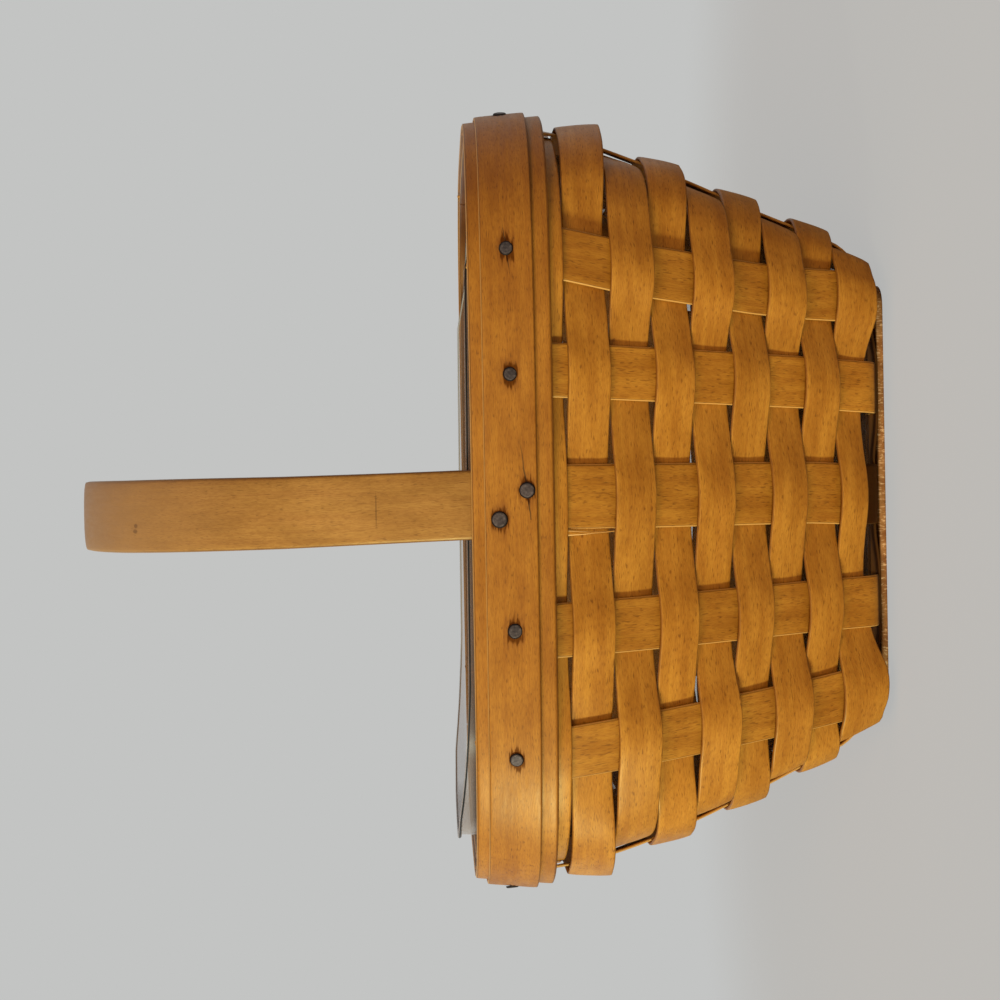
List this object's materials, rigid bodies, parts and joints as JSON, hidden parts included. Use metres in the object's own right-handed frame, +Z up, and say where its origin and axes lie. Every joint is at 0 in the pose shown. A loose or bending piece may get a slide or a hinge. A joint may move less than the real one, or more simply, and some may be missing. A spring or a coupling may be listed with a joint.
{
  "type": "pie basket",
  "caption": "Square flared basket woven of flat wood splints, with a doubled rim band, a fixed arched handle and a clear lift-out liner, for carrying a pie or other baked goods.",
  "frame": {"origin": "middle of the bottom board's underside, on the surface that the basket stands on", "axes": "+Z up, -Y the front with one leg of the handle, +X to the right seen from the front; the handle's arch lies in the YZ plane"},
  "size_m": [0.2504, 0.2506, 0.2617],
  "materials": {
    "board_wood": "satin varnish, worn edge",
    "stake_wood": "semi-gloss honey stain",
    "weaver_wood": "semi-gloss honey stain",
    "band_wood": "semi-gloss honey stain",
    "handle_wood": "semi-gloss honey stain",
    "tack_steel": "dull, darkened",
    "clear_plastic": "clear, glossy"
  },
  "bodies": {
    "basket": {"bottom_board": "board_wood", "long_splint_1": "stake_wood", "long_splint_2": "stake_wood", "long_splint_3": "stake_wood", "long_splint_4": "stake_wood", "long_splint_5": "stake_wood", "cross_splint_1": "stake_wood", "cross_splint_2": "stake_wood", "cross_splint_3": "stake_wood", "cross_splint_4": "stake_wood", "cross_splint_5": "stake_wood", "weaver_1": "weaver_wood", "weaver_2": "weaver_wood", "weaver_3": "weaver_wood", "weaver_4": "weaver_wood", "weaver_5": "weaver_wood", "weaver_6": "weaver_wood", "weaver_7": "weaver_wood", "weaver_8": "weaver_wood", "weaver_9": "weaver_wood", "outer_rim_band": "band_wood", "rim_trim_band": "band_wood", "inner_rim_band": "band_wood", "handle": "handle_wood", "rim_tack_1": "tack_steel", "rim_tack_2": "tack_steel", "rim_tack_3": "tack_steel", "rim_tack_4": "tack_steel", "rim_tack_5": "tack_steel", "rim_tack_6": "tack_steel", "rim_tack_7": "tack_steel", "rim_tack_8": "tack_steel", "rim_tack_9": "tack_steel", "rim_tack_10": "tack_steel", "rim_tack_11": "tack_steel", "rim_tack_12": "tack_steel", "rim_tack_13": "tack_steel", "rim_tack_14": "tack_steel", "rim_tack_15": "tack_steel", "rim_tack_16": "tack_steel", "rim_tack_17": "tack_steel", "rim_tack_18": "tack_steel", "handle_tack_1": "tack_steel", "handle_tack_2": "tack_steel", "handle_tack_3": "tack_steel", "handle_tack_4": "tack_steel"},
    "liner": {"clear_liner": "clear_plastic"}
  },
  "joints": [
    {"name": "liner_lift", "type": "slide", "parent": "basket", "child": "liner", "axis": [0, 0, 1], "range_m": [0, 0.018]}
  ]
}
